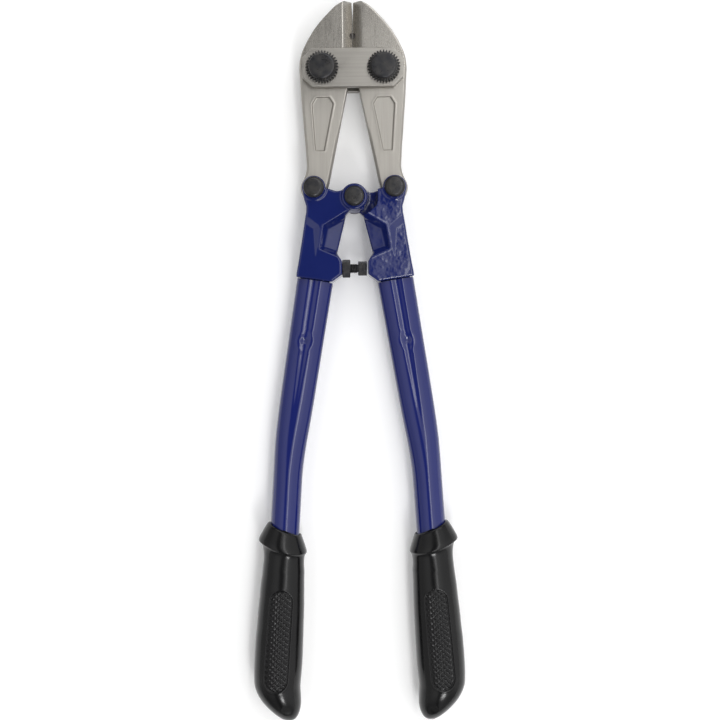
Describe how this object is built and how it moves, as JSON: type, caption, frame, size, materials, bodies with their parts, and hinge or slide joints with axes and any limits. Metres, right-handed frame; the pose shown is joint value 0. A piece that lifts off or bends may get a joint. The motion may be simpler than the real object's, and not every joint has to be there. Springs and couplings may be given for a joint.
{
  "type": "bolt cutters",
  "caption": "Long-handled bolt cutters: toggle linkage closes a pair of forged cutting jaws, with oval-to-round steel tube handles, moulded grips and an adjustable stop.",
  "frame": {"origin": "centre of the closed tool's footprint, on the surface that its rear nuts and grips lie on", "axes": "+Y from the grips to the blade tips, +X to the right seen from the front face, +Z out of the front face"},
  "size_m": [0.1328, 0.4499, 0.031],
  "materials": {
    "blade_steel": "ground forged steel, satin",
    "ground_steel": "ground flat, lengthwise grain",
    "black_oxide": "black oxide, satin",
    "blue_enamel": "glossy baked enamel",
    "grip_pvc": "soft black vinyl, satin gloss, knurled panel"
  },
  "bodies": {
    "straps": {"front_strap": "ground_steel", "rear_strap": "ground_steel", "jaw_bolt_left": "black_oxide", "jaw_bolt_right": "black_oxide", "jaw_washer_left": "black_oxide", "jaw_washer_right": "black_oxide", "jaw_nut_left": "black_oxide", "jaw_nut_right": "black_oxide"},
    "jaw_left": {"jaw_left": "blade_steel"},
    "jaw_right": {"jaw_right": "blade_steel"},
    "handle_left": {"handle_head_left": "blue_enamel", "tube_left": "blue_enamel", "grip_left": "grip_pvc", "tail_bolt_left": "black_oxide", "tail_washer_left": "black_oxide", "tail_nut_left": "black_oxide", "centre_bolt": "black_oxide", "centre_washer": "black_oxide", "centre_nut": "black_oxide", "stop_locknut": "black_oxide"},
    "handle_right": {"handle_head_right": "blue_enamel", "tube_right": "blue_enamel", "grip_right": "grip_pvc", "tail_bolt_right": "black_oxide", "tail_washer_right": "black_oxide", "tail_nut_right": "black_oxide"},
    "stop_screw": {"stop_screw": "black_oxide"}
  },
  "joints": [
    {"name": "left_jaw_pivot", "type": "hinge", "parent": "straps", "child": "jaw_left", "pos_m": [-0.0191, 0.1823, 0.015], "axis": [0, 0, 1], "range_deg": [0, 10.43]},
    {"name": "right_jaw_pivot", "type": "hinge", "parent": "straps", "child": "jaw_right", "pos_m": [0.0191, 0.1823, 0.015], "axis": [0, 0, -1], "range_deg": [0, 10.43]},
    {"name": "left_handle_pivot", "type": "hinge", "parent": "jaw_left", "child": "handle_left", "pos_m": [-0.0252, 0.1081, 0.015], "axis": [0, 0, -1], "range_deg": [0, 60.42]},
    {"name": "right_handle_pivot", "type": "hinge", "parent": "jaw_right", "child": "handle_right", "pos_m": [0.0252, 0.1081, 0.015], "axis": [0, 0, 1], "range_deg": [0, 60.42]},
    {"name": "stop_adjuster", "type": "slide", "parent": "handle_left", "child": "stop_screw", "axis": [-1, 0, 0], "range_m": [0, 0.0044]}
  ],
  "couplings": [
    {"joint": "left_jaw_pivot", "follows": "left_handle_pivot", "ratio": 0.17247},
    {"joint": "right_jaw_pivot", "follows": "left_handle_pivot", "ratio": 0.17247},
    {"joint": "right_handle_pivot", "follows": "left_handle_pivot", "ratio": 1}
  ]
}
